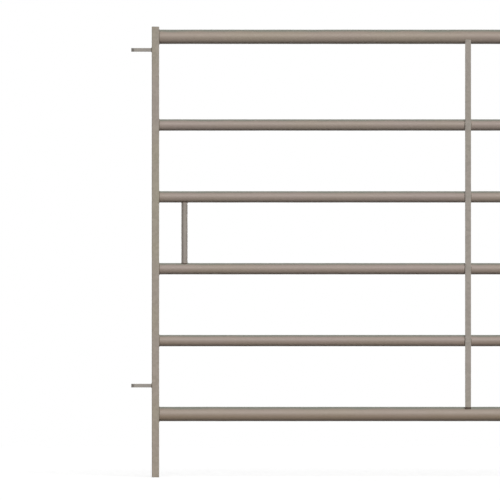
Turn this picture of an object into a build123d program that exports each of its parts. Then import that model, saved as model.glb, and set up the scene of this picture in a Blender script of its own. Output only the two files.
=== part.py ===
from build123d import *
import os

# A portable cattle hurdle: a welded panel of galvanised tube that stands on its two end posts.
# Millimetres. The origin is on the ground, midway between the posts. +X runs along the rails,
# +Z is up, and the front, where the stay is, faces -Y.

os.makedirs("parts", exist_ok=True)

# Panel
hurdle_length = 2139.0  # over the outer faces of the two posts
hurdle_height = 1524.0

# End posts, rectangular hollow section with the narrow side to the front
post_width = 25.0
post_depth = 50.0
post_wall = 3.0
post_corner_radius = 2.5
post_inner_radius = 1.0
post_stand = 10.0  # how far a post stands above the top rail

# Rails, round tube
edge_rail_diameter = 48.3  # the top and bottom rails
edge_rail_wall = 3.2
mid_rail_diameter = 38.1
mid_rail_wall = 2.6
top_gap = 255.0  # clear gap under the top rail
rail_gap = 205.0  # each clear gap below that
vent_diameter = 10.0  # hole low on the back of each rail, for the galvanising bath
vent_inset = 35.0  # from the post to the middle of the hole
vent_turn = 30.0  # degrees, from straight down towards the back

# Centre stay, flat bar in front of the middle rails
stay_width = 20.0
stay_thickness = 5.0
stay_edge_radius = 0.8
stay_head_lap = 14.0  # over the lower edge of the top rail
stay_foot_lap = 6.0  # over the upper edge of the bottom rail
stay_foot_bevel = 5.0

# Grip bars, upright tube between the third and fourth rails
grip_diameter = 21.3
grip_wall = 2.6
grip_gap = 75.0  # hand room between the post and the grip bar

# Drop pin and its tommy bar
pin_diameter = 20.0
pin_tail = 60.0  # below the lower lug
pin_taper_length = 18.0
pin_point_diameter = 9.0
pin_head_rise = 10.0  # above the tommy bar
pin_head_chamfer = 2.0
handle_diameter = 12.0
handle_length = 110.0
handle_edge_radius = 2.0
handle_hole_clearance = 0.05
handle_rest_gap = 0.3  # between the tommy bar and the lug that it rests on

# Pin lugs, flat plate welded to the outer side of a post
lug_thickness = 12.0
lug_width = 42.0
lug_reach = 69.3  # from the post to the tip
lug_corner_clip = 9.0  # cut off both outer corners, at 45 degrees
lug_tip_wall = 12.0  # from the pin hole to the tip
upper_lug_drop = 78.5  # from the top of the post to the upper left lug
lower_lug_height = 310.0
lug_stack_gap = 2.0  # between a right lug and the neighbour's left lug that lies on it
pin_hole_clearance = 2.0  # all round the pin

# Weld beads, by the radius of the bead
rail_bead = 2.0
lug_bead = 2.0
lug_bead_rounding = 1.9  # of the bead's edges
post_bead_room = 0.5  # between a bead and the front or back of a post
grip_bead = 1.2
stay_bead = 2.0
stay_bead_length = 14.0
stay_head_bead = 2.0
stay_foot_bead = 3.0
stay_foot_bead_inset = 2.0  # behind the stay
stay_foot_bead_rise = 1.0  # above the lower edge of the stay
stay_end_overrun = 0.5  # of the head and foot beads, past each side of the stay
handle_bead = 2.0

# Places that follow from the sizes above
outer_face = hurdle_length / 2
inner_face = outer_face - post_width
post_place = outer_face - post_width / 2
rail_length = 2 * inner_face

edge_rail_radius = edge_rail_diameter / 2
mid_rail_radius = mid_rail_diameter / 2
mid_rail_pitch = mid_rail_diameter + rail_gap
top_rail_height = hurdle_height - post_stand - edge_rail_radius
second_rail_height = top_rail_height - edge_rail_radius - top_gap - mid_rail_radius
mid_rail_names = ["second_rail", "third_rail", "fourth_rail", "fifth_rail"]
mid_rail_heights = [second_rail_height - mid_rail_pitch * n for n in range(len(mid_rail_names))]
bottom_rail_height = mid_rail_heights[-1] - mid_rail_radius - rail_gap - edge_rail_radius

stay_back = -mid_rail_radius
stay_front = stay_back - stay_thickness
stay_head = top_rail_height - edge_rail_radius + stay_head_lap
stay_foot = bottom_rail_height + edge_rail_radius - stay_foot_lap

grip_place = inner_face - grip_gap - grip_diameter / 2
grip_head = mid_rail_heights[mid_rail_names.index("third_rail")]
grip_foot = mid_rail_heights[mid_rail_names.index("fourth_rail")]

lug_tip = outer_face + lug_reach
lug_step = lug_thickness + lug_stack_gap
upper_lug_height = hurdle_height - upper_lug_drop
right_upper_lug_height = upper_lug_height - lug_step
right_lower_lug_height = lower_lug_height - lug_step

pin_hole_radius = pin_diameter / 2 + pin_hole_clearance
pin_place = lug_tip - lug_tip_wall - pin_hole_radius
handle_height = right_upper_lug_height + lug_thickness / 2 + handle_rest_gap + handle_diameter / 2
pin_top = handle_height + handle_diameter / 2 + pin_head_rise
pin_tip = right_lower_lug_height - lug_thickness / 2 - pin_tail


def save(piece, name):
    """Labels a finished piece and writes it to its own file."""
    piece.part.label = name
    export_step(piece.part, f"parts/{name}.step")


def cut_rail(radius, height):
    """Takes the space of a rail out of the piece being built, so that the piece seats on the rail."""
    with Locations((0, 0, height)):
        Cylinder(radius, rail_length, rotation=(0, 90, 0), mode=Mode.SUBTRACT)


def cut_post(side):
    """Takes the space of a post, outside and inside, out of the piece being built."""
    with BuildSketch() as outline:
        with Locations((side * post_place, 0)):
            RectangleRounded(post_width, post_depth, post_corner_radius)
    extrude(outline.sketch, amount=hurdle_height, mode=Mode.SUBTRACT)


def bead_round_rail_end(side, height, radius):
    """A ring of weld where a rail of the given radius meets a post."""
    with Locations((side * inner_face, 0, height)):
        Torus(radius, rail_bead, rotation=(0, 90, 0))
        Cylinder(radius, 2 * rail_bead, rotation=(0, 90, 0), mode=Mode.SUBTRACT)


def trim_to_post_depth():
    """Keeps the beads being built just short of the front and back of the posts."""
    depth = post_depth - 2 * post_bead_room
    with Locations((0, 0, hurdle_height / 2)):
        Box(2 * hurdle_length, depth, 2 * hurdle_height, mode=Mode.INTERSECT)


def make_post(name, side):
    """A hollow rectangular post, cut square and open at both ends."""
    with BuildPart() as post:
        with BuildSketch():
            with Locations((side * post_place, 0)):
                RectangleRounded(post_width, post_depth, post_corner_radius)
                RectangleRounded(
                    post_width - 2 * post_wall,
                    post_depth - 2 * post_wall,
                    post_inner_radius,
                    mode=Mode.SUBTRACT,
                )
        extrude(amount=hurdle_height)
    save(post, name)


def make_rail(name, diameter, wall, height):
    """A tube cut square between the posts, vented low on its back near each end."""
    with BuildPart() as rail:
        with BuildSketch(Plane.YZ.offset(-inner_face)):
            with Locations((0, height)):
                Circle(diameter / 2)
                Circle(diameter / 2 - wall, mode=Mode.SUBTRACT)
        extrude(amount=rail_length)
        with BuildSketch(Plane.XY.offset(height).rotated((180 + vent_turn, 0, 0))):
            with GridLocations(rail_length - 2 * vent_inset, 0, 2, 1):
                Circle(vent_diameter / 2)
        extrude(amount=diameter, mode=Mode.SUBTRACT)
    save(rail, name)


def make_grip_bar(name, side):
    """An upright tube, coped at both ends to the rails above and below it."""
    with BuildPart() as grip_bar:
        with BuildSketch(Plane.XY.offset(grip_foot)):
            with Locations((side * grip_place, 0)):
                Circle(grip_diameter / 2)
                Circle(grip_diameter / 2 - grip_wall, mode=Mode.SUBTRACT)
        extrude(amount=grip_head - grip_foot)
        cut_rail(mid_rail_radius, grip_head)
        cut_rail(mid_rail_radius, grip_foot)
    save(grip_bar, name)


def make_lug(name, side, height):
    """A flat plate with its outer corners clipped and a round hole for the drop pin."""
    with BuildPart() as lug:
        with BuildSketch(Plane.XY.offset(height - lug_thickness / 2)):
            with BuildLine():
                Polyline(
                    (side * outer_face, -lug_width / 2),
                    (side * (lug_tip - lug_corner_clip), -lug_width / 2),
                    (side * lug_tip, -lug_width / 2 + lug_corner_clip),
                    (side * lug_tip, lug_width / 2 - lug_corner_clip),
                    (side * (lug_tip - lug_corner_clip), lug_width / 2),
                    (side * outer_face, lug_width / 2),
                    close=True,
                )
            make_face()
            with Locations((side * pin_place, 0)):
                Circle(pin_hole_radius, mode=Mode.SUBTRACT)
        extrude(amount=lug_thickness)
    save(lug, name)


def make_rail_welds(name, side):
    """One bead round the end of each rail on a post."""
    with BuildPart() as rail_welds:
        for height in (top_rail_height, bottom_rail_height):
            bead_round_rail_end(side, height, edge_rail_radius)
        for height in mid_rail_heights:
            bead_round_rail_end(side, height, mid_rail_radius)
        cut_post(side)
        trim_to_post_depth()
    save(rail_welds, name)


def make_lug_welds(name, side, heights):
    """One bead all round the root of each lug on a post."""
    places = [(side * outer_face, 0, height) for height in heights]
    with BuildPart() as lug_welds:
        with Locations(places):
            Box(2 * lug_bead, lug_width + 2 * lug_bead, lug_thickness + 2 * lug_bead)
        fillet(lug_welds.edges(), lug_bead_rounding)
        with Locations(places):
            Box(2 * lug_reach, lug_width, lug_thickness, mode=Mode.SUBTRACT)
        cut_post(side)
        trim_to_post_depth()
    save(lug_welds, name)


def make_grip_welds(name, side):
    """A bead at each end of a grip bar, which follows the saddle between bar and rail."""
    with BuildPart() as grip_welds:
        for height in (grip_head, grip_foot):
            with Locations((side * grip_place, 0, height)):
                Cylinder(mid_rail_radius + grip_bead, grip_gap, rotation=(0, 90, 0))
        with BuildSketch(Plane.XY.offset(grip_foot)):
            with Locations((side * grip_place, 0)):
                Circle(grip_diameter / 2 + grip_bead)
                Circle(grip_diameter / 2, mode=Mode.SUBTRACT)
        extrude(amount=grip_head - grip_foot, mode=Mode.INTERSECT)
        cut_rail(mid_rail_radius, grip_head)
        cut_rail(mid_rail_radius, grip_foot)
    save(grip_welds, name)


for name, side in (("left_post", -1), ("right_post", 1)):
    make_post(name, side)

make_rail("top_rail", edge_rail_diameter, edge_rail_wall, top_rail_height)
for name, height in zip(mid_rail_names, mid_rail_heights):
    make_rail(name, mid_rail_diameter, mid_rail_wall, height)
make_rail("bottom_rail", edge_rail_diameter, edge_rail_wall, bottom_rail_height)

for name, side in (("left_rail_welds", -1), ("right_rail_welds", 1)):
    make_rail_welds(name, side)

# The stay's head is coped over the top rail, and its foot is bevelled for the weld on the bottom rail.
with BuildPart() as centre_stay:
    with BuildSketch(Plane.YZ.offset(-stay_width / 2)):
        with BuildLine():
            Polyline(
                (stay_back, stay_foot),
                (stay_back, stay_head),
                (stay_front, stay_head),
                (stay_front, stay_foot + stay_foot_bevel),
                close=True,
            )
        make_face()
    extrude(amount=stay_width)
    fillet(centre_stay.edges().filter_by(Axis.Z), stay_edge_radius)
    cut_rail(edge_rail_radius, top_rail_height)
    cut_rail(edge_rail_radius, bottom_rail_height)
save(centre_stay, "centre_stay")

# Beads run down both sides of the stay at each middle rail, one of them turned half round to face the
# other way, and across its head and foot.
with BuildPart() as stay_welds:
    for height in mid_rail_heights:
        with Locations(
            Location((-stay_width / 2, stay_back, height)),
            Location((stay_width / 2, stay_back, height), (0, 0, 180)),
        ):
            Cylinder(stay_bead, stay_bead_length)
    with Locations((0, (stay_back + stay_front) / 2, stay_head)):
        Cylinder(stay_head_bead, stay_width + 2 * stay_end_overrun, rotation=(0, 90, 0))
    with Locations((0, stay_back + stay_foot_bead_inset, stay_foot + stay_foot_bead_rise)):
        Cylinder(stay_foot_bead, stay_width + 2 * stay_end_overrun, rotation=(0, 90, 0))
    add(centre_stay.part, mode=Mode.SUBTRACT)
    for height in mid_rail_heights:
        cut_rail(mid_rail_radius, height)
    cut_rail(edge_rail_radius, top_rail_height)
    cut_rail(edge_rail_radius, bottom_rail_height)
save(stay_welds, "stay_welds")

for end, side in (("left", -1), ("right", 1)):
    make_grip_bar(f"{end}_grip_bar", side)
    make_grip_welds(f"{end}_grip_welds", side)

# The right lugs sit one plate lower, so that the next hurdle's left lugs lie on top of them.
lug_heights = {
    ("left", -1): (upper_lug_height, lower_lug_height),
    ("right", 1): (right_upper_lug_height, right_lower_lug_height),
}
for (end, side), (upper, lower) in lug_heights.items():
    make_lug(f"{end}_upper_lug", side, upper)
    make_lug(f"{end}_lower_lug", side, lower)
    make_lug_welds(f"{end}_lug_welds", side, (upper, lower))

# The drop pin is a straight bar with a tapered point, cross-drilled near its head.
with BuildPart() as link_pin:
    with BuildSketch(Plane.XZ):
        with BuildLine():
            Polyline(
                (pin_place, pin_tip),
                (pin_place + pin_point_diameter / 2, pin_tip),
                (pin_place + pin_diameter / 2, pin_tip + pin_taper_length),
                (pin_place + pin_diameter / 2, pin_top - pin_head_chamfer),
                (pin_place + pin_diameter / 2 - pin_head_chamfer, pin_top),
                (pin_place, pin_top),
                close=True,
            )
        make_face()
    revolve(axis=Axis((pin_place, 0, 0), (0, 0, 1)))
    with Locations((pin_place, 0, handle_height)):
        Cylinder(
            handle_diameter / 2 + handle_hole_clearance,
            2 * pin_diameter,
            rotation=(90, 0, 0),
            mode=Mode.SUBTRACT,
        )
save(link_pin, "link_pin")

# The tommy bar goes through the pin and rests across the upper lug.
with BuildPart() as pin_handle:
    with BuildSketch(Plane.XZ.offset(-handle_length / 2)):
        with Locations((pin_place, handle_height)):
            Circle(handle_diameter / 2)
    extrude(amount=handle_length)
    fillet(pin_handle.edges().filter_by(GeomType.CIRCLE), handle_edge_radius)
save(pin_handle, "pin_handle")

with BuildPart() as pin_handle_welds:
    with Locations((pin_place, 0, handle_height)):
        Cylinder(pin_diameter / 2 + handle_bead, 2 * handle_diameter)
        Cylinder(
            handle_diameter / 2 + handle_bead,
            2 * pin_diameter,
            rotation=(90, 0, 0),
            mode=Mode.INTERSECT,
        )
        Cylinder(handle_diameter / 2, 2 * pin_diameter, rotation=(90, 0, 0), mode=Mode.SUBTRACT)
        Cylinder(pin_diameter / 2, 2 * handle_diameter, mode=Mode.SUBTRACT)
save(pin_handle_welds, "pin_handle_welds")
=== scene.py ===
import bmesh
import bpy
import numpy as np
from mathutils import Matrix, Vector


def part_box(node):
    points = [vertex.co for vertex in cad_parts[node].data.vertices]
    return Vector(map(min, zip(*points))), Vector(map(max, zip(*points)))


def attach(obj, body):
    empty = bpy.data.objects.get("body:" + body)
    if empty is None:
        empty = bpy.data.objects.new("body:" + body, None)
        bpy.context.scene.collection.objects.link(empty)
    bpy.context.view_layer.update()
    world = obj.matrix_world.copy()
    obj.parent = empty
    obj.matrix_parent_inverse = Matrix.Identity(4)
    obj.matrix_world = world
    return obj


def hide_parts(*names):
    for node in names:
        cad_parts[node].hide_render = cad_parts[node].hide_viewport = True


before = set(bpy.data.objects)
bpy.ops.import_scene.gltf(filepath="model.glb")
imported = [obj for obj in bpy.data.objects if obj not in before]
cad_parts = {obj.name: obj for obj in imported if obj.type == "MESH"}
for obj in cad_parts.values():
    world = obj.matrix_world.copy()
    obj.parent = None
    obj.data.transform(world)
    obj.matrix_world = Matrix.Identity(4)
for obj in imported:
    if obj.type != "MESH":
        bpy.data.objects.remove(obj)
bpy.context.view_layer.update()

# End posts
# Two rectangular tubes, rolled from strip and seam-welded, stand at the ends with the narrow side to the
# front. They are sawn square and left open, and were dipped in molten zinc with the whole welded panel.
mm = 0.001
post_wall = 3.0 * mm
post_corner = 2.5 * mm
post_bore_corner = 1.0 * mm
sawn_edge = 0.5 * mm  # how far the zinc rounds a sawn rim
post_row_spacing = 8.0 * mm
zinc_height = 0.35 * mm  # of the swells that the zinc sets in
zinc_waves = 16
shortest_wave = 30.0 * mm
longest_wave = 160.0 * mm
post_low_brown = 0.12
low_brown_reach = 500.0 * mm  # the height over which the brown tint thins out
seam_gap = 0.001 * mm  # points nearer than this are one
crease_angle = np.radians(38)


def rounded_rectangle(width, depth, corner, flat_steps=8, corner_steps=6):
    """The outline of a rounded rectangle and the way that each of its points faces: four quarter circles
    of the corner's radius, each followed by a straight run to the next one."""
    quarter = np.linspace(0, np.pi / 2, corner_steps)
    angle = np.arange(4)[:, None] * np.pi / 2 + quarter
    round_facing = np.stack([np.cos(angle), np.sin(angle)], -1)
    sign = np.array([[1, 1], [-1, 1], [-1, -1], [1, -1]])
    centre = sign * (np.array([width, depth]) / 2 - corner)
    arc = centre[:, None] + corner * round_facing
    share = np.linspace(0, 1, flat_steps + 1)[1:-1, None]
    flat = arc[:, -1:] * (1 - share) + np.roll(arc, -1, axis=0)[:, :1] * share
    flat_facing = np.repeat(round_facing[:, -1:], flat_steps - 1, axis=1)
    outline = np.concatenate([arc, flat], axis=1).reshape(-1, 2)
    facing = np.concatenate([round_facing, flat_facing], axis=1).reshape(-1, 2)
    return outline, facing


def wall_stations(length, wall, spacing):
    """A tube's wall cut lengthwise, as one closed line: along the outside, over the far rim, back along the
    bore and over the near rim. Gives the distance along the tube and the depth into the wall, 0 to 1."""
    outside = np.linspace(sawn_edge, length - sawn_edge, int(np.ceil(length / spacing)) + 1)
    along = np.concatenate([outside, [length, length], outside[[-1, 0]], [0, 0]])
    rim = sawn_edge / wall
    into = np.concatenate([np.zeros(len(outside)), [rim, 1 - rim, 1, 1, 1 - rim, rim]])
    return along[:, None], into[:, None]


def zinc_swell(places, seed):
    """How far the zinc stands proud at each place: the mean of many sine waves through space, each with its
    own direction, phase and length, times the height of the swells."""
    draw = np.random.default_rng(seed)
    aim = draw.normal(size=(zinc_waves, 3))
    aim /= np.linalg.norm(aim, axis=1, keepdims=True)
    wave_length = draw.uniform(shortest_wave, longest_wave, (zinc_waves, 1))
    phase = draw.uniform(0, 2 * np.pi, zinc_waves)
    return zinc_height * np.sin(places @ (aim * 2 * np.pi / wave_length).T + phase).mean(-1)


def build_piece(name, finish, *grids):
    """One mesh from grids of points (rows, columns, 3). Each cell is a face with four corners. A grid's
    columns close on themselves, and so do its rows, unless its end rows are single points, its poles."""
    places, corners, first = [], [], 0
    for grid in grids:
        rows, columns = grid.shape[:2]
        is_ring = np.ptp(grid[0], axis=0).max() > 0
        row = np.arange(rows if is_ring else rows - 1)[:, None]
        column = np.arange(columns)[None, :]
        next_row = (row + 1) % rows
        next_column = (column + 1) % columns
        cell = np.stack(
            [
                row * columns + column,
                row * columns + next_column,
                next_row * columns + next_column,
                next_row * columns + column,
            ],
            -1,
        )
        corners.append(first + cell.reshape(-1, 4))
        places.append(grid.reshape(-1, 3))
        first += rows * columns
    places = np.concatenate(places)
    corners = np.concatenate(corners)
    mesh = bpy.data.meshes.new(name)
    mesh.vertices.add(len(places))
    mesh.vertices.foreach_set("co", places.astype(np.float32).ravel())
    mesh.loops.add(corners.size)
    mesh.loops.foreach_set("vertex_index", corners.astype(np.int32).ravel())
    mesh.polygons.add(len(corners))
    mesh.polygons.foreach_set("loop_start", np.arange(0, corners.size, 4, dtype=np.int32))
    mesh.update(calc_edges=True)
    close_seams(mesh)
    mesh.materials.append(finish)
    piece = bpy.data.objects.new(name, mesh)
    bpy.context.scene.collection.objects.link(piece)
    smooth_piece(piece)
    return piece


def close_seams(mesh):
    """Merges the points that lie on each other, as at seams and poles, and turns every face outwards."""
    shell = bmesh.new()
    shell.from_mesh(mesh)
    bmesh.ops.remove_doubles(shell, verts=shell.verts, dist=seam_gap)
    bmesh.ops.recalc_face_normals(shell, faces=shell.faces)
    shell.to_mesh(mesh)
    shell.free()


def smooth_piece(piece):
    """Smooth shading, broken where two faces meet at a clear angle."""
    mesh = piece.data
    mesh.polygons.foreach_set("use_smooth", np.ones(len(mesh.polygons), dtype=bool))
    mesh.set_sharp_from_angle(angle=crease_angle)


def mark(piece, attribute, amount_at):
    """Writes a surface attribute, 0 to 1, worked out from the places of all the piece's points."""
    mesh = piece.data
    places = np.empty(3 * len(mesh.vertices), np.float32)
    mesh.vertices.foreach_get("co", places)
    amount = np.clip(amount_at(places.reshape(-1, 3)), 0, 1)
    layer = mesh.attributes.new(attribute, "FLOAT", "POINT")
    layer.data.foreach_set("value", amount.astype(np.float32))


def linear(colour):
    """An sRGB hex colour as linear red, green, blue and alpha."""
    value = np.array([int(colour[i:i + 2], 16) for i in (1, 3, 5)]) / 255
    value = np.where(value <= 0.04045, value / 12.92, ((value + 0.055) / 1.055) ** 2.4)
    return (*value.tolist(), 1.0)


def add_node(tree, kind, sockets, give, **settings):
    """Adds one node with its settings. Each socket is set to its value, or linked if the value is another
    node's output. Gives the output that is asked for."""
    node = tree.nodes.new(kind)
    for setting, value in settings.items():
        setattr(node, setting, value)
    inputs = {socket.identifier: socket for socket in node.inputs}
    for socket, value in sockets.items():
        if isinstance(value, bpy.types.NodeSocket):
            tree.links.new(value, inputs[socket])
        else:
            inputs[socket].default_value = value
    return {socket.identifier: socket for socket in node.outputs}.get(give)


# Weathered hot-dip zinc: dull warm grey with crystals that differ a little in tone and gloss, clouded
# olive and mauve over a hand's width, pitted like orange peel. A greener grey painted on the top of the
# rails stands for cool light from above, a brown tint lies low down, painted shade darkens it near the
# welds, at the ends of the upright bars and underneath, and handling polishes it ("rub").
zinc_crystal_dark = "#8B8377"
zinc_crystal_pale = "#A69D91"
# painted cool light from above, laid on the top of every rail
zinc_painted_top_light = "#84867B"
# a brown tint, laid low on the posts and under the low rails
zinc_low_brown = "#967C5E"
# painted shade: the dark brown laid near the welds, at the ends of bars and under the rails
zinc_painted_shade = "#5F5046"
zinc_rubbed = "#ABA59B"
zinc_specular = 0.26  # the chalky skin of old zinc hardly mirrors
zinc_metallic = 0.05
zinc_roughness = (0.46, 0.58)  # of the smoothest crystal and of the dullest
rub_polish = 0.16  # how much of the roughness handling takes off
cloud_size = 120.0 * mm
cloud_detail = 3.0
cloud_edges = (0.35, 0.65)  # the noise is all olive below the first, all mauve above the second
crystal_size = 9.0 * mm
speck_size = 2.2 * mm
speck_detail = 2.0
speck_edges = (0.58, 0.8)  # the noise is bare below the first, full speck above the second
speck_strength = 0.25
peel_size = 3.0 * mm
peel_detail = 3.0
peel_height = 0.06 * mm
peel_strength = 0.6


def hot_dip_zinc(name, olive, mauve, run, spangle):
    """The zinc finish, clouded from an olive to a mauve grey. Run stretches the clouds and specks along the
    way that the melt drained. Spangle is how strongly the crystals show."""
    material = bpy.data.materials.new(name)
    material.use_nodes = True
    tree = material.node_tree
    tree.nodes.clear()
    place = add_node(tree, "ShaderNodeTexCoord", {}, "Object")
    drained = add_node(tree, "ShaderNodeMapping", {"Vector": place, "Scale": run}, "Vector")
    cloud = add_node(
        tree,
        "ShaderNodeTexNoise",
        {"Vector": drained, "Scale": 1 / cloud_size, "Detail": cloud_detail},
        "Fac",
    )
    cloud = add_node(
        tree,
        "ShaderNodeMapRange",
        {"Value": cloud, "From Min": cloud_edges[0], "From Max": cloud_edges[1]},
        "Result",
    )
    tone = add_node(
        tree,
        "ShaderNodeMix",
        {"Factor_Float": cloud, "A_Color": linear(olive), "B_Color": linear(mauve)},
        "Result_Color",
        data_type="RGBA",
    )
    crystal = add_node(
        tree, "ShaderNodeTexVoronoi", {"Vector": place, "Scale": 1 / crystal_size}, "Color"
    )
    crystal = add_node(tree, "ShaderNodeSeparateColor", {"Color": crystal}, "Red")
    flake = add_node(
        tree,
        "ShaderNodeMix",
        {
            "Factor_Float": crystal,
            "A_Color": linear(zinc_crystal_dark),
            "B_Color": linear(zinc_crystal_pale),
        },
        "Result_Color",
        data_type="RGBA",
    )
    tone = add_node(
        tree,
        "ShaderNodeMix",
        {"Factor_Float": spangle, "A_Color": tone, "B_Color": flake},
        "Result_Color",
        data_type="RGBA",
    )
    speck = add_node(
        tree,
        "ShaderNodeTexNoise",
        {"Vector": drained, "Scale": 1 / speck_size, "Detail": speck_detail},
        "Fac",
    )
    speck = add_node(
        tree,
        "ShaderNodeMapRange",
        {
            "Value": speck,
            "From Min": speck_edges[0],
            "From Max": speck_edges[1],
            "To Max": speck_strength,
        },
        "Result",
    )
    tone = add_node(
        tree,
        "ShaderNodeMix",
        {"Factor_Float": speck, "A_Color": tone, "B_Color": linear(zinc_crystal_dark)},
        "Result_Color",
        data_type="RGBA",
    )
    # The covers lay painted top light, a brown tint, painted shade and handling wear over the zinc.
    covers = {"painted_top_light": zinc_painted_top_light, "low_brown": zinc_low_brown, "painted_shade": zinc_painted_shade, "rub": zinc_rubbed}
    for cover, colour in covers.items():
        amount = add_node(tree, "ShaderNodeAttribute", {}, "Fac", attribute_name=cover)
        tone = add_node(
            tree,
            "ShaderNodeMix",
            {"Factor_Float": amount, "A_Color": tone, "B_Color": linear(colour)},
            "Result_Color",
            data_type="RGBA",
        )
    rub = add_node(tree, "ShaderNodeAttribute", {}, "Fac", attribute_name="rub")
    gloss = add_node(
        tree,
        "ShaderNodeMapRange",
        {"Value": crystal, "To Min": zinc_roughness[0], "To Max": zinc_roughness[1]},
        "Result",
    )
    gloss = add_node(
        tree,
        "ShaderNodeMath",
        {"Value": rub, "Value_001": -rub_polish, "Value_002": gloss},
        "Value",
        operation="MULTIPLY_ADD",
    )
    peel = add_node(
        tree,
        "ShaderNodeTexNoise",
        {"Vector": place, "Scale": 1 / peel_size, "Detail": peel_detail},
        "Fac",
    )
    bumps = add_node(
        tree,
        "ShaderNodeBump",
        {"Height": peel, "Strength": peel_strength, "Distance": peel_height},
        "Normal",
    )
    shader = add_node(
        tree,
        "ShaderNodeBsdfPrincipled",
        {
            "Base Color": tone,
            "Roughness": gloss,
            "Normal": bumps,
            "Metallic": zinc_metallic,
            "Specular IOR Level": zinc_specular,
        },
        "BSDF",
    )
    add_node(tree, "ShaderNodeOutputMaterial", {"Surface": shader}, None)
    return material


post_zinc = hot_dip_zinc(
    "hot_dip_zinc_on_section", "#98927F", "#9B908A", run=(1.0, 1.0, 0.7), spangle=0.5
)
for name in ("left_post", "right_post"):
    low, high = np.array(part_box(name))
    width, depth, height = high - low
    outside, facing = rounded_rectangle(width, depth, post_corner)
    bore, _ = rounded_rectangle(width - 2 * post_wall, depth - 2 * post_wall, post_bore_corner)
    along, into = wall_stations(height, post_wall, post_row_spacing)
    section = outside * (1 - into)[..., None] + bore * into[..., None] + (low + high)[:2] / 2
    grid = np.dstack([section, np.broadcast_to(low[2] + along, section.shape[:2])])
    grid[..., :2] += facing * (zinc_swell(grid, seed=1) * (into == 0))[..., None]
    post = build_piece(f"{name}_section", post_zinc, grid)
    # A brown tint thins out up the post from its foot.
    mark(post, "low_brown", lambda p: post_low_brown * np.exp(-p[:, 2] / low_brown_reach))
    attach(post, "hurdle_frame")
    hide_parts(name)

# Rails
# Six round tubes, the top and bottom ones heavier, are sawn square and butt against the posts. A hole
# low on the back near each end let the zinc run into the tube and out again.
heavy_rails = ("top_rail", "bottom_rail")
light_rails = ("second_rail", "third_rail", "fourth_rail", "fifth_rail")
heavy_wall = 3.2 * mm
light_wall = 2.6 * mm
rail_row_spacing = 9.0 * mm
rail_columns = 88
vent_radius = 5.0 * mm
vent_inset = 35.0 * mm
vent_turn = np.radians(30)  # from straight down towards the back
vent_columns = 32
drill_reach = (0.25, 0.75)  # where a drill starts and ends, from the rail's axis, in diameters
drain_line_height = 0.25 * mm  # the last of the zinc sets in a low line underneath
drain_line_spread = 0.14  # radians
# painted shade on the rail next to each post's face
rail_end_shade_reach = 5.0 * mm
rail_end_painted_shade = 0.12
# Where painted top light, the brown tint and painted underside shade start on a rail, and over what
# height they fade in, in radii up from its axis.
rail_painted_top_light = 0.7
top_light_edge = 0.6
top_light_fade = 0.16
top_light_wander = 0.15  # how unevenly its edge runs
rail_low_brown = 0.54
low_brown_edge = 0.1
low_brown_fade = 0.5
# painted shade under the rail
rail_underside_painted_shade = 0.6
underside_shade_edge = -0.6
underside_shade_fade = 0.4


def circle_columns(columns):
    """Unit circle points, as two columns, evenly spaced round one full turn."""
    turn = np.linspace(0, 2 * np.pi, columns, endpoint=False)
    return np.stack([np.cos(turn), np.sin(turn)], -1)


def turned_bar(radii, along, columns):
    """A solid of revolution round its own Z: a circle of each radius at each distance along, with poles
    where the radius is nothing."""
    ring = circle_columns(columns)
    radii = np.asarray(radii)[:, None]
    level = np.broadcast_to(np.asarray(along)[:, None], (len(radii), columns))
    return np.dstack([radii * ring[:, 0], radii * ring[:, 1], level])


def radii_up(places, axis, diameter):
    """How high each place lies on a rail, from -1 underneath through 0 at its axis to 1 on top."""
    return (places[:, 2] - axis[2]) / (diameter / 2)


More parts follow.
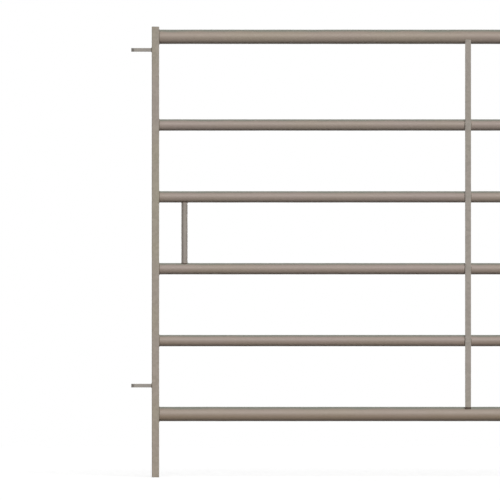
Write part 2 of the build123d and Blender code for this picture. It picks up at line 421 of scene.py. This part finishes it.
heavy_tube_zinc = hot_dip_zinc(
    "hot_dip_zinc_on_heavy_tube", "#9C8F81", "#9C8D84", run=(0.35, 1.0, 1.0), spangle=0.16
)
light_tube_zinc = hot_dip_zinc(
    "hot_dip_zinc_on_light_tube", "#9C8F83", "#9C8D87", run=(0.35, 1.0, 1.0), spangle=0.16
)
drill_ways = np.array(
    [
        [1, 0, 0],
        [0, -np.cos(vent_turn), -np.sin(vent_turn)],
        [0, np.sin(vent_turn), -np.cos(vent_turn)],
    ]
)
for name in heavy_rails + light_rails:
    is_heavy = name in heavy_rails
    wall = heavy_wall if is_heavy else light_wall
    rail_zinc = heavy_tube_zinc if is_heavy else light_tube_zinc
    low, high = np.array(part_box(name))
    length, diameter, _ = high - low
    axis = (low + high) / 2
    facing = circle_columns(rail_columns)
    along, into = wall_stations(length, wall, rail_row_spacing)
    lengthwise = np.broadcast_to(low[0] + along, (len(along), rail_columns))
    section = axis[1:] + (diameter / 2 - wall * into)[..., None] * facing
    grid = np.dstack([lengthwise, section])
    below = np.arccos(np.clip(-facing[:, 1], -1, 1))
    proud = zinc_swell(grid, seed=2) + drain_line_height * np.exp(-((below / drain_line_spread) ** 2))
    grid[..., 1:] += facing * (proud * (into == 0))[..., None]
    rail = build_piece(f"{name}_tube", rail_zinc, grid)
    near, far = diameter * np.array(drill_reach)
    drill = turned_bar([0, vent_radius, vent_radius, 0], [near, near, far, far], vent_columns) @ drill_ways
    drills = []
    for vent_place in (low[0] + vent_inset, high[0] - vent_inset):
        drills.append(drill + np.array([vent_place, axis[1], axis[2]]))
    vents = build_piece("vent_drills", rail_zinc, *drills)
    holes = rail.modifiers.new("vents", "BOOLEAN")
    holes.object = vents
    holes.operation = "DIFFERENCE"
    holes.solver = "EXACT"
    shaped = rail.evaluated_get(bpy.context.evaluated_depsgraph_get())
    rail.data = bpy.data.meshes.new_from_object(shaped)
    rail.modifiers.clear()
    bpy.data.objects.remove(vents)
    close_seams(rail.data)
    smooth_piece(rail)
    # Painted cool light greens the top of the rail, with an unevenly running lower edge.
    mark(
        rail,
        "painted_top_light",
        lambda p: rail_painted_top_light
        * (radii_up(p, axis, diameter) - top_light_edge + top_light_wander * zinc_swell(p, seed=5) / zinc_height)
        / top_light_fade,
    )
    # A brown tint under the rail, strongest on the low rails.
    mark(
        rail,
        "low_brown",
        lambda p: rail_low_brown
        * np.exp(-axis[2] / low_brown_reach)
        * np.clip((low_brown_edge - radii_up(p, axis, diameter)) / low_brown_fade, 0, 1),
    )
    # Painted shade darkens the rail's ends where they meet the posts, and its underside.
    mark(
        rail,
        "painted_shade",
        lambda p: rail_end_painted_shade * np.exp(-(length / 2 - abs(p[:, 0] - axis[0])) / rail_end_shade_reach)
        + rail_underside_painted_shade * np.clip((underside_shade_edge - radii_up(p, axis, diameter)) / underside_shade_fade, 0, 1),
    )
    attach(rail, "hurdle_frame")
    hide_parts(name)

# Rail welds
# A fillet weld runs all round each rail's end and joins it to the post. It was laid by hand with wire,
# in close ripples, and the zinc covers it a shade darker and rougher than the tube.
rail_bead = 2.0 * mm
bead_ripple = 2.6 * mm  # from one ripple to the next
bead_ripple_depth = 0.07  # of the bead's size
bead_ripple_mean = 0.6  # the height in a ripple at which the bead has its own size
bead_bow = 1.8  # radians, how far a ripple lags at the toes of the bead
bead_wanders = ((3, 0.05, 0), (7, 0.04, 1))  # slow waves along a run, with their height and start
bead_sink = 0.7 * mm  # how deep the bead is fused into both pieces
bead_least_leg = 0.4 * mm
bead_ring_gap = 3  # a run whose ends are within so many steps is a ring
bead_columns = 9
bead_row_spacing = 0.65 * mm


def fillet_bead(corner, up, out, up_leg, out_leg):
    """A weld along a line of corner points between two surfaces. Its section is a quarter ellipse from a
    leg up one surface to a leg out on the other, closed by a point sunk behind the corner. Curved
    ripples swell and shrink it along the line."""
    step = np.linalg.norm(np.roll(corner, -1, axis=0) - corner, axis=1)
    is_ring = step[-1] < bead_ring_gap * step[:-1].max()
    run = np.concatenate([[0], np.cumsum(step[:-1])])
    total = run[-1] + step[-1] * is_ring
    ripples = max(1, round(total / bead_ripple))
    angle = np.linspace(0, np.pi / 2, bead_columns)
    bow = bead_bow * (angle / (np.pi / 4) - 1) ** 2
    turn = 2 * np.pi * run[:, None] / total
    ripple = np.abs(np.sin((ripples * turn + bow) / 2)) - bead_ripple_mean
    wander = sum(share * np.sin(waves * turn + start) for waves, share, start in bead_wanders)
    size = 1 + bead_ripple_depth * ripple + wander
    up_part = (size * np.cos(angle) * up_leg[:, None])[..., None] * up[:, None]
    out_part = (size * np.sin(angle) * out_leg[:, None])[..., None] * out[:, None]
    skin = corner[:, None] + up_part + out_part
    depth = np.minimum(bead_sink, np.minimum(up_leg, out_leg))[:, None]
    sunk = corner - depth * (up + out)
    return np.concatenate([skin, sunk[:, None]], axis=1)


def ring_bead(face, side, height, radius, leg, half_depth):
    """The fillet round a bar along X where it meets a post's face: the corner is the bar's circle, and the
    leg out on the post stops short of the post's front and back edges."""
    rows = round(2 * np.pi * radius / bead_row_spacing)
    ring = circle_columns(rows)
    nothing = np.zeros(rows)
    out = np.stack([nothing, ring[:, 0], ring[:, 1]], -1)
    up = np.stack([nothing + side, nothing, nothing], -1)
    corner = np.array([face, 0, height]) + radius * out
    across = np.maximum(np.abs(ring[:, 0]), np.finfo(float).eps)
    room = half_depth / across - radius
    out_leg = np.clip(room, bead_least_leg, leg)
    return fillet_bead(corner, up, out, np.full(rows, leg), out_leg)


# Zinc over weld metal: the same warm grey, but darker and duller, with a grainy skin that has no crystals.
# Painted shade darkens the beads at the ends of the upright bars, where they meet the rails.
weld_grey = "#8A8175"
weld_shadow = "#6F675C"
weld_painted_shade = "#3D332C"
weld_grain = 1.6 * mm
weld_grain_detail = 4.0
weld_grain_height = 0.12 * mm
weld_grain_strength = 0.7
weld_roughness = (0.5, 0.75)

weld_zinc = bpy.data.materials.new("zinc_over_weld_metal")
weld_zinc.use_nodes = True
weld_tree = weld_zinc.node_tree
weld_tree.nodes.clear()
weld_place = add_node(weld_tree, "ShaderNodeTexCoord", {}, "Object")
weld_mottle = add_node(
    weld_tree,
    "ShaderNodeTexNoise",
    {"Vector": weld_place, "Scale": 1 / weld_grain, "Detail": weld_grain_detail},
    "Fac",
)
weld_tone = add_node(
    weld_tree,
    "ShaderNodeMix",
    {"Factor_Float": weld_mottle, "A_Color": linear(weld_shadow), "B_Color": linear(weld_grey)},
    "Result_Color",
    data_type="RGBA",
)
# Painted shade, laid where the piece marks it, darkens the bead.
weld_shade_amount = add_node(weld_tree, "ShaderNodeAttribute", {}, "Fac", attribute_name="painted_shade")
weld_tone = add_node(
    weld_tree,
    "ShaderNodeMix",
    {"Factor_Float": weld_shade_amount, "A_Color": weld_tone, "B_Color": linear(weld_painted_shade)},
    "Result_Color",
    data_type="RGBA",
)
weld_gloss = add_node(
    weld_tree,
    "ShaderNodeMapRange",
    {"Value": weld_mottle, "To Min": weld_roughness[0], "To Max": weld_roughness[1]},
    "Result",
)
weld_bumps = add_node(
    weld_tree,
    "ShaderNodeBump",
    {"Height": weld_mottle, "Strength": weld_grain_strength, "Distance": weld_grain_height},
    "Normal",
)
weld_shader = add_node(
    weld_tree,
    "ShaderNodeBsdfPrincipled",
    {
        "Base Color": weld_tone,
        "Roughness": weld_gloss,
        "Normal": weld_bumps,
        "Metallic": zinc_metallic,
        "Specular IOR Level": zinc_specular,
    },
    "BSDF",
)
add_node(weld_tree, "ShaderNodeOutputMaterial", {"Surface": weld_shader}, None)

for end, side in (("left", 1), ("right", -1)):
    post_low, post_high = np.array(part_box(f"{end}_post"))
    face = post_high[0] if side > 0 else post_low[0]
    half_depth = (post_high[1] - post_low[1]) / 2
    beads = []
    for name in heavy_rails + light_rails:
        low, high = np.array(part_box(name))
        height = (low[2] + high[2]) / 2
        radius = (high[1] - low[1]) / 2
        beads.append(ring_bead(face, side, height, radius, rail_bead, half_depth))
    rail_welds = build_piece(f"{end}_rail_beads", weld_zinc, *beads)
    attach(rail_welds, "hurdle_frame")
    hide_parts(f"{end}_rail_welds")

# Centre stay
# A hot-rolled flat bar stands in front of the four middle rails. Its head is coped over the top rail and
# its foot is bevelled where it is welded down to the bottom rail.
stay_edge = 0.8 * mm
stay_bevel = 5.0 * mm
# painted shadow on the bevelled foot, where the stay overhangs the bottom rail
stay_foot_painted_shadow = 0.6
stay_shadow_reach = 0.4 * mm  # past the top of the bevel
stay_shadow_fade = 0.8 * mm
stay_row_spacing = 10.0 * mm
stay_first_row = 0.001  # a share of the stay's height, next to the foot, keeps its rim crisp

stay_zinc = hot_dip_zinc(
    "hot_dip_zinc_on_flat_bar", "#969189", "#99918E", run=(1.0, 1.0, 0.7), spangle=0.5
)
stay_low, stay_high = np.array(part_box("centre_stay"))
stay_width, stay_thickness, stay_height = stay_high - stay_low
outline, facing = rounded_rectangle(stay_width, stay_thickness, stay_edge, flat_steps=6, corner_steps=5)
outline = outline + (stay_low + stay_high)[:2] / 2
top_low, top_high = np.array(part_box("top_rail"))
top_axis = (top_low + top_high)[2] / 2
top_radius = (top_high - top_low)[1] / 2
cope = top_axis - np.sqrt(np.maximum(top_radius ** 2 - outline[:, 1] ** 2, 0))
head = np.minimum(stay_high[2], cope)
foot = stay_low[2] + stay_bevel * (stay_high[1] - outline[:, 1]) / stay_thickness
share = np.linspace(stay_first_row, 1, int(stay_height / stay_row_spacing))
share = np.concatenate([[0], share])[:, None]
level = foot * (1 - share) + head * share
outline = np.broadcast_to(outline, (*level.shape, 2))
grid = np.dstack([outline, level])
grid[..., :2] += facing * zinc_swell(grid, seed=3)[..., None]
poles = np.broadcast_to(grid[[0, -1]].mean(axis=1, keepdims=True), (2, *grid.shape[1:]))
grid = np.concatenate([poles[:1], grid, poles[1:]])
stay = build_piece("centre_stay_bar", stay_zinc, grid)
# Painted shadow darkens the stay's bevelled foot.
mark(
    stay,
    "painted_shade",
    lambda p: stay_foot_painted_shadow * (stay_low[2] + stay_bevel + stay_shadow_reach - p[:, 2]) / stay_shadow_fade,
)
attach(stay, "hurdle_frame")
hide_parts("centre_stay")

# Stay welds
# Short runs join both edges of the stay to each middle rail. One run fills the step above its head, and
# one lies in the groove behind its bevelled foot, on the bottom rail.
stay_bead = 2.0 * mm
stay_bead_half_turn = np.radians(23)  # how far each run reaches round the rail, up and down
stay_bead_blunt = 0.4
head_bead = 2.0 * mm
foot_bead = 3.0 * mm
foot_bead_inset = 2.0 * mm  # behind the stay
foot_bead_rise = 1.0 * mm  # above the lower edge of the stay
end_bead_overrun = 0.5 * mm
end_bead_blunt = 0.25
foot_bead_painted_shadow = 0.65
end_bead_columns = 16


def end_taper(share, blunt):
    """How a run of weld swells from nothing at each end: a quarter circle over the blunt share of it."""
    reach = np.clip((1 - np.abs(2 * share - 1)) / blunt, 0, 1)
    return np.sqrt(1 - (1 - reach) ** 2)


beads = []
for name in light_rails:
    low, high = np.array(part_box(name))
    radius = (high[1] - low[1]) / 2
    height = (low[2] + high[2]) / 2
    rows = round(2 * stay_bead_half_turn * radius / bead_row_spacing)
    share = np.linspace(0, 1, rows)
    angle = stay_bead_half_turn * (2 * share - 1)
    swell = end_taper(share, stay_bead_blunt)
    nothing = np.zeros(rows)
    up = np.stack([nothing, nothing - 1, nothing], -1)
    gap = radius * (1 - np.cos(angle))
    for side, edge in ((-1, stay_low[0]), (1, stay_high[0])):
        corner = np.stack([nothing + edge, -radius * np.cos(angle), height + radius * np.sin(angle)], -1)
        out = np.stack([nothing + side, nothing, nothing], -1)
        beads.append(fillet_bead(corner, up, out, swell * (stay_bead + gap), swell * stay_bead))

half_run = stay_width / 2 + end_bead_overrun
rows = round(2 * half_run / bead_row_spacing)
share = np.linspace(0, 1, rows)
run = half_run * (2 * share - 1)
ring = circle_columns(end_bead_columns)
for place, height, bead in (
    ((stay_low + stay_high)[1] / 2, stay_high[2], head_bead),
    (stay_high[1] + foot_bead_inset, stay_low[2] + foot_bead_rise, foot_bead),
):
    ripple = 1 + bead_ripple_depth * np.abs(np.sin(np.pi * run / bead_ripple))
    size = bead * end_taper(share, end_bead_blunt) * ripple
    grid = np.dstack(
        [
            np.broadcast_to(run[:, None], (rows, end_bead_columns)),
            place + size[:, None] * ring[:, 0],
            height + size[:, None] * ring[:, 1],
        ]
    )
    beads.append(grid)
stay_welds = build_piece("stay_beads", weld_zinc, *beads)
# Painted shadow darkens the bead behind the stay's foot.
mark(stay_welds, "painted_shade", lambda p: foot_bead_painted_shadow * (p[:, 2] < stay_low[2] + stay_bevel))
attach(stay_welds, "hurdle_frame")
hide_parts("stay_welds")

# Grip bars
# A short upright tube beside each post is coped to the rails above and below it. Hands and halters have
# rubbed the middle of it smoother than the rest, and painted contact shade darkens both ends.
grip_wall = 2.6 * mm
grip_columns = 56
grip_row_spacing = 1.5 * mm
grip_rub = 0.15
grip_rub_reach = 60.0 * mm  # up and down from the middle
# painted contact shade at the ends of the grip, next to the rails
grip_end_painted_shade = 1.0
grip_end_shade_reach = 0.6 * mm  # past the edge of the rail
grip_end_shade_fade = 0.8 * mm

third_low, third_high = np.array(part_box("third_rail"))
fourth_low, fourth_high = np.array(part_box("fourth_rail"))
mid_radius = (third_high - third_low)[1] / 2
third_axis = (third_low + third_high)[2] / 2
fourth_axis = (fourth_low + fourth_high)[2] / 2

grip_zinc = hot_dip_zinc(
    "hot_dip_zinc_on_grip_tube", "#918A82", "#928986", run=(1.0, 1.0, 0.35), spangle=0.2
)
for end in ("left", "right"):
    low, high = np.array(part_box(f"{end}_grip_bar"))
    axis = (low + high) / 2
    facing = circle_columns(grip_columns)
    along, into = wall_stations(third_axis - fourth_axis, grip_wall, grip_row_spacing)
    share = along / (third_axis - fourth_axis)
    section = axis[:2] + ((high - low)[0] / 2 - grip_wall * into)[..., None] * facing
    saddle = np.sqrt(mid_radius ** 2 - section[..., 1] ** 2)
    level = (fourth_axis + saddle) * (1 - share) + (third_axis - saddle) * share
    grid = np.dstack([section, level])
    grid[..., :2] += facing * (zinc_swell(grid, seed=4) * (into == 0))[..., None]
    grip = build_piece(f"{end}_grip_tube", grip_zinc, grid)
    mark(grip, "rub", lambda p: grip_rub * np.exp(-(((p[:, 2] - axis[2]) / grip_rub_reach) ** 2)))
    # Painted contact shade darkens both ends of the grip tube.
    mark(
        grip,
        "painted_shade",
        lambda p: grip_end_painted_shade
        * np.maximum(
            fourth_axis + mid_radius + grip_end_shade_reach - p[:, 2],
            p[:, 2] - third_axis + mid_radius + grip_end_shade_reach,
        )
        / grip_end_shade_fade,
    )
    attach(grip, "hurdle_frame")
    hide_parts(f"{end}_grip_bar")

# Grip welds
# One small fillet at each end of a grip bar follows the saddle where the small tube meets the rail, and
# it is darkened all over with painted contact shade.
grip_bead = 1.2 * mm


def saddle_bead(centre, bar_way, rail_way, bar_radius, rail_radius, leg):
    """The fillet where a round bar stands on a rounder one: the corner goes round the bar and rides up and
    down on the rail's curve, one leg runs up the bar and the other out along the rail's surface."""
    rows = round(2 * np.pi * bar_radius / bead_row_spacing)
    ring = circle_columns(rows)
    bar_way = np.array(bar_way, dtype=float)
    rail_way = np.array(rail_way, dtype=float)
    cross_way = np.cross(bar_way, rail_way)
    spoke = ring[:, :1] * rail_way + ring[:, 1:] * cross_way
    rise = np.sqrt(rail_radius ** 2 - (bar_radius * ring[:, 1:]) ** 2)
    corner = np.array(centre) + bar_radius * spoke + rise * bar_way
    rail_normal = (bar_radius * ring[:, 1:] * cross_way + rise * bar_way) / rail_radius
    out = spoke - np.sum(spoke * rail_normal, axis=1, keepdims=True) * rail_normal
    out /= np.linalg.norm(out, axis=1, keepdims=True)
    up = np.broadcast_to(bar_way, corner.shape)
    return fillet_bead(corner, up, out, np.full(rows, leg), np.full(rows, leg))


for end in ("left", "right"):
    low, high = np.array(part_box(f"{end}_grip_bar"))
    radius = (high - low)[0] / 2
    place = (low + high)[0] / 2
    grip_welds = build_piece(
        f"{end}_grip_beads",
        weld_zinc,
        saddle_bead((place, 0, third_axis), (0, 0, -1), (1, 0, 0), radius, mid_radius, grip_bead),
        saddle_bead((place, 0, fourth_axis), (0, 0, 1), (1, 0, 0), radius, mid_radius, grip_bead),
    )
    # Painted contact shade darkens both beads all over.
    mark(grip_welds, "painted_shade", lambda p: np.full(len(p), grip_end_painted_shade))
    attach(grip_welds, "hurdle_frame")
    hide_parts(f"{end}_grip_welds")

# Pin lugs
# Flat plate, cropped to length with both outer corners clipped and a hole drilled through, stands out
# from the side of a post. The drop pin of a pair of hurdles goes down through these holes and rubs them
# bright.
lug_corner_clip = 9.0 * mm
lug_tip_wall = 12.0 * mm  # from the hole to the tip
lug_hole_radius = 12.0 * mm
lug_edge_steps = 24
lug_rings = 9  # of points on its flat sides, from the edge to the hole
lug_rub = 0.7
lug_rub_reach = 6.0 * mm

lug_zinc = hot_dip_zinc(
    "hot_dip_zinc_on_plate", "#928E87", "#928D8B", run=(1.0, 1.0, 1.0), spangle=0.3
)


def drilled_plate(corners, hole, hole_radius, thickness):
    """A plate with a round hole, as its outline carried round a closed line: up the edge, in over the top to
    the hole, down the hole and out again underneath. All rims are chamfered. The corners go anticlockwise,
    and each point of the outline is joined to the point of the hole that lies towards it."""
    way = np.roll(corners, -1, axis=0) - corners
    way /= np.linalg.norm(way, axis=1, keepdims=True)
    inward = np.stack([-way[:, 1], way[:, 0]], -1)
    before = np.roll(inward, 1, axis=0)
    shift = (inward + before) / (1 + np.sum(inward * before, axis=1, keepdims=True))
    rims = np.stack([corners, corners + sawn_edge * shift])[:, :, None]
    share = np.linspace(0, 1, lug_edge_steps, endpoint=False)[:, None]
    edge, rim = (rims * (1 - share) + np.roll(rims, -1, axis=1) * share).reshape(2, -1, 2)
    spoke = (edge - hole) / np.linalg.norm(edge - hole, axis=1, keepdims=True)
    bore = hole + hole_radius * spoke
    into = np.linspace(0, 1, lug_rings)[:, None, None]
    flat = rim * (1 - into) + (bore + sawn_edge * spoke) * into
    section = np.concatenate([[edge, edge], flat, [bore, bore], flat[::-1]])
    low, high = sawn_edge, thickness - sawn_edge
    level = np.concatenate([[low, high], np.full(lug_rings, thickness), [high, low], np.zeros(lug_rings)])
    return np.dstack([section, np.broadcast_to(level[:, None], section.shape[:2])])


for end, side in (("left", -1), ("right", 1)):
    for tier in ("upper", "lower"):
        name = f"{end}_{tier}_lug"
        low, high = np.array(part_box(name))
        root, tip = (low[0], high[0]) if side > 0 else (high[0], low[0])
        clip = tip - side * lug_corner_clip
        corners = np.array(
            [
                [root, low[1]],
                [clip, low[1]],
                [tip, low[1] + lug_corner_clip],
                [tip, high[1] - lug_corner_clip],
                [clip, high[1]],
                [root, high[1]],
            ]
        )
        hole = np.array([tip - side * (lug_tip_wall + lug_hole_radius), (low + high)[1] / 2])
        grid = drilled_plate(corners[::side], hole, lug_hole_radius, (high - low)[2])
        grid[..., 2] += low[2]
        lug = build_piece(f"{name}_plate", lug_zinc, grid)
        mark(
            lug,
            "rub",
            lambda p: lug_rub
            * np.exp((lug_hole_radius - np.linalg.norm(p[:, :2] - hole, axis=1)) / lug_rub_reach),
        )
        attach(lug, "hurdle_frame")
        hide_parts(name)

# Lug welds
# One fillet goes all round the root of each lug and joins it to the outer side of the post. It is laid
# with wire and dipped with the rest, as the rails' welds are.
lug_bead = 2.0 * mm
lug_root_corner = 0.6 * mm
lug_bead_steps = 40
lug_root_steps = 7

for end, side in (("left", -1), ("right", 1)):
    beads = []
    for tier in ("upper", "lower"):
        low, high = np.array(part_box(f"{end}_{tier}_lug"))
        _, width, thickness = high - low
        outline, facing = rounded_rectangle(
            width, thickness, lug_root_corner, flat_steps=lug_bead_steps, corner_steps=lug_root_steps
        )
        nothing = np.zeros(len(outline))
        face = low[0] if side > 0 else high[0]
        corner = np.stack([nothing + face, outline[:, 0], (low + high)[2] / 2 + outline[:, 1]], -1)
        out = np.stack([nothing, facing[:, 0], facing[:, 1]], -1)
        up = np.stack([nothing + side, nothing, nothing], -1)
        leg = nothing + lug_bead
        beads.append(fillet_bead(corner, up, out, leg, leg))
    lug_welds = build_piece(f"{end}_lug_beads", weld_zinc, *beads)
    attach(lug_welds, "hurdle_frame")
    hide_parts(f"{end}_lug_welds")

# Drop pin
# A long round bar with a turned point hangs in the right lugs by its tommy bar. It slides up and out by
# hand, and its shank is rubbed bright where the lugs hold it.
pin_taper = 18.0 * mm
pin_point_radius = 4.5 * mm
pin_chamfer = 2.0 * mm
pin_edge = 0.5 * mm  # how far the zinc rounds the corners of the point
pin_row_spacing = 6.0 * mm
pin_columns = 64
pin_rub = 0.8
pin_rub_reach = 26.0 * mm

pin_zinc = hot_dip_zinc(
    "hot_dip_zinc_on_pin", "#969084", "#979089", run=(1.0, 1.0, 0.35), spangle=0.3
)
pin_low, pin_high = np.array(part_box("link_pin"))
pin_axis = (pin_low + pin_high) / 2
pin_radius = (pin_high - pin_low)[0] / 2
point = pin_low[2]
top = pin_high[2]
shank = np.arange(point + pin_taper, top - pin_chamfer, pin_row_spacing)
pin_along = np.concatenate(
    [
        [point, point, point + pin_edge, point + pin_taper - pin_edge],
        shank + pin_edge,
        [top - pin_chamfer, top, top],
    ]
)
pin_radii = np.concatenate(
    [
        [0, pin_point_radius - pin_edge, pin_point_radius, pin_radius - pin_edge],
        np.full(len(shank), pin_radius),
        [pin_radius, pin_radius - pin_chamfer, 0],
    ]
)
grid = turned_bar(pin_radii, pin_along, pin_columns)
grid[..., :2] += pin_axis[:2]
pin = build_piece("drop_pin_shank", pin_zinc, grid)
right_lugs = [np.array(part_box(f"right_{tier}_lug")).mean(axis=0)[2] for tier in ("upper", "lower")]
mark(
    pin,
    "rub",
    lambda p: pin_rub
    * sum(np.exp(-(((p[:, 2] - height) / pin_rub_reach) ** 2)) for height in right_lugs),
)
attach(pin, "drop_pin")
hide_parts("link_pin")

# Tommy bar
# A short round bar through the pin's head, with its ends rounded for the hand. It rests across the upper
# lug and stops the pin from dropping through.
handle_end = 2.0 * mm
handle_end_rows = 6
handle_rows = 30
handle_columns = 40
handle_rub = 0.6

low, high = np.array(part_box("pin_handle"))
handle_axis = (low + high) / 2
handle_radius = (high - low)[2] / 2
handle_half = (high - low)[1] / 2
quarter = np.linspace(0, np.pi / 2, handle_end_rows)
rounding = handle_radius - handle_end * (1 - np.sin(quarter))
setback = handle_half - handle_end * (1 - np.cos(quarter))
straight = np.linspace(-setback[-1], setback[-1], handle_rows)[1:-1]
handle_along = np.concatenate([[-handle_half], -setback, straight, setback[::-1], [handle_half]])
handle_radii = np.concatenate(
    [[0], rounding, np.full(len(straight), handle_radius), rounding[::-1], [0]]
)
grid = turned_bar(handle_radii, handle_along, handle_columns)[..., [0, 2, 1]] + handle_axis
handle = build_piece("tommy_bar", pin_zinc, grid)
mark(handle, "rub", lambda p: handle_rub * np.abs(p[:, 1]) / handle_half)
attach(handle, "drop_pin")
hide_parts("pin_handle")

# Tommy bar welds
# A small fillet on each side of the pin fixes the tommy bar in its hole. Both were dipped together
# after they were welded.
handle_bead = 2.0 * mm

handle_centre = (pin_axis[0], pin_axis[1], handle_axis[2])
handle_welds = build_piece(
    "tommy_bar_beads",
    weld_zinc,
    saddle_bead(handle_centre, (0, -1, 0), (0, 0, 1), handle_radius, pin_radius, handle_bead),
    saddle_bead(handle_centre, (0, 1, 0), (0, 0, 1), handle_radius, pin_radius, handle_bead),
)
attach(handle_welds, "drop_pin")
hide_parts("pin_handle_welds")

# Floor
# A plain pale floor. The camera and mirrors see it white under the object's soft shadow, and it throws
# little light back on the undersides.
floor_half = 9.0
floor_pale = "#E0E0E0"
floor_glow = 0.55
floor_bounce = "#4A4A48"

floor_mesh = bpy.data.meshes.new("floor")
floor_mesh.from_pydata(
    [
        (-floor_half, -floor_half, 0),
        (floor_half, -floor_half, 0),
        (floor_half, floor_half, 0),
        (-floor_half, floor_half, 0),
    ],
    [],
    [(0, 1, 2, 3)],
)
floor = bpy.data.objects.new("floor", floor_mesh)
bpy.context.scene.collection.objects.link(floor)
floor_paint = bpy.data.materials.new("pale_floor_paint")
floor_paint.use_nodes = True
floor_tree = floor_paint.node_tree
floor_tree.nodes.clear()


def seen_directly(tree):
    """1 on rays from the camera and on mirrored and refracted rays, and 0 on rays that only bring light."""
    seen = add_node(tree, "ShaderNodeLightPath", {}, "Is Camera Ray")
    for ray in ("Is Glossy Ray", "Is Transmission Ray"):
        other = add_node(tree, "ShaderNodeLightPath", {}, ray)
        seen = add_node(
            tree, "ShaderNodeMath", {"Value": seen, "Value_001": other}, "Value", operation="MAXIMUM"
        )
    return seen


floor_lit = add_node(floor_tree, "ShaderNodeBsdfDiffuse", {"Color": linear(floor_pale)}, "BSDF")
floor_white = add_node(floor_tree, "ShaderNodeEmission", {"Strength": floor_glow}, "Emission")
floor_seen = add_node(
    floor_tree, "ShaderNodeAddShader", {"Shader": floor_lit, "Shader_001": floor_white}, "Shader"
)
floor_grey = add_node(floor_tree, "ShaderNodeBsdfDiffuse", {"Color": linear(floor_bounce)}, "BSDF")
floor_mix = add_node(
    floor_tree,
    "ShaderNodeMixShader",
    {"Fac": seen_directly(floor_tree), "Shader": floor_grey, "Shader_001": floor_seen},
    "Shader",
)
add_node(floor_tree, "ShaderNodeOutputMaterial", {"Surface": floor_mix}, None)
floor_mesh.materials.append(floor_paint)

# Light
# A broad soft light stands in front, above and a little to the right, and a pair of weaker ones behind, one
# past each end. A white surround is what the camera and mirrors see, and it lights the object only faintly.
surround_light = 0.06
surround_white = 1.0
white = linear("#FFFFFF")
# Spread, height above the floor and turn from the front are in degrees.
lamps = {
    "front_light": {"strength": 0.94, "spread": 40, "height": 26, "turn": 13},
    "rear_right_light": {"strength": 0.45, "spread": 30, "height": 11, "turn": 150},
    "rear_left_light": {"strength": 0.45, "spread": 30, "height": 11, "turn": 210},
}

for name, lamp in lamps.items():
    light = bpy.data.lights.new(name, "SUN")
    light.energy = lamp["strength"] * np.pi
    light.angle = np.radians(lamp["spread"])
    stand = bpy.data.objects.new(name, light)
    stand.rotation_euler = (np.radians(90 - lamp["height"]), 0, np.radians(lamp["turn"]))
    bpy.context.scene.collection.objects.link(stand)

surround = bpy.data.worlds.new("white_surround")
surround.use_nodes = True
bpy.context.scene.world = surround
sky_tree = surround.node_tree
sky_tree.nodes.clear()
sky_light = add_node(
    sky_tree, "ShaderNodeBackground", {"Color": white, "Strength": surround_light}, "Background"
)
sky_white = add_node(
    sky_tree, "ShaderNodeBackground", {"Color": white, "Strength": surround_white}, "Background"
)
sky_mix = add_node(
    sky_tree,
    "ShaderNodeMixShader",
    {"Fac": seen_directly(sky_tree), "Shader": sky_light, "Shader_001": sky_white},
    "Shader",
)
add_node(sky_tree, "ShaderNodeOutputWorld", {"Surface": sky_mix}, None)

# Camera
# It looks straight at the front through a long lens. The post's height in the picture gives the scale, and
# the rows and columns below put the hurdle's left part where the photograph has it.
picture_size = 500
post_top_row = 26.68
ground_row = 477.29
stay_column = 468.0
camera_distance = 60.0
view_depth = 400.0
sensor_width = 36.0

post_low, post_high = np.array(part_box("left_post"))
metres_per_pixel = (post_high[2] - post_low[2]) / (ground_row - post_top_row)
camera_data = bpy.data.cameras.new("camera")
camera_data.sensor_width = sensor_width
camera_data.lens = sensor_width * camera_distance / (picture_size * metres_per_pixel)
camera_data.clip_end = view_depth
camera = bpy.data.objects.new("camera", camera_data)
camera.location = (
    (picture_size / 2 - stay_column) * metres_per_pixel,
    -camera_distance,
    (ground_row - picture_size / 2) * metres_per_pixel,
)
camera.rotation_euler = (np.pi / 2, 0, 0)
bpy.context.scene.collection.objects.link(camera)
bpy.context.scene.camera = camera
bpy.context.scene.view_settings.view_transform = "Standard"
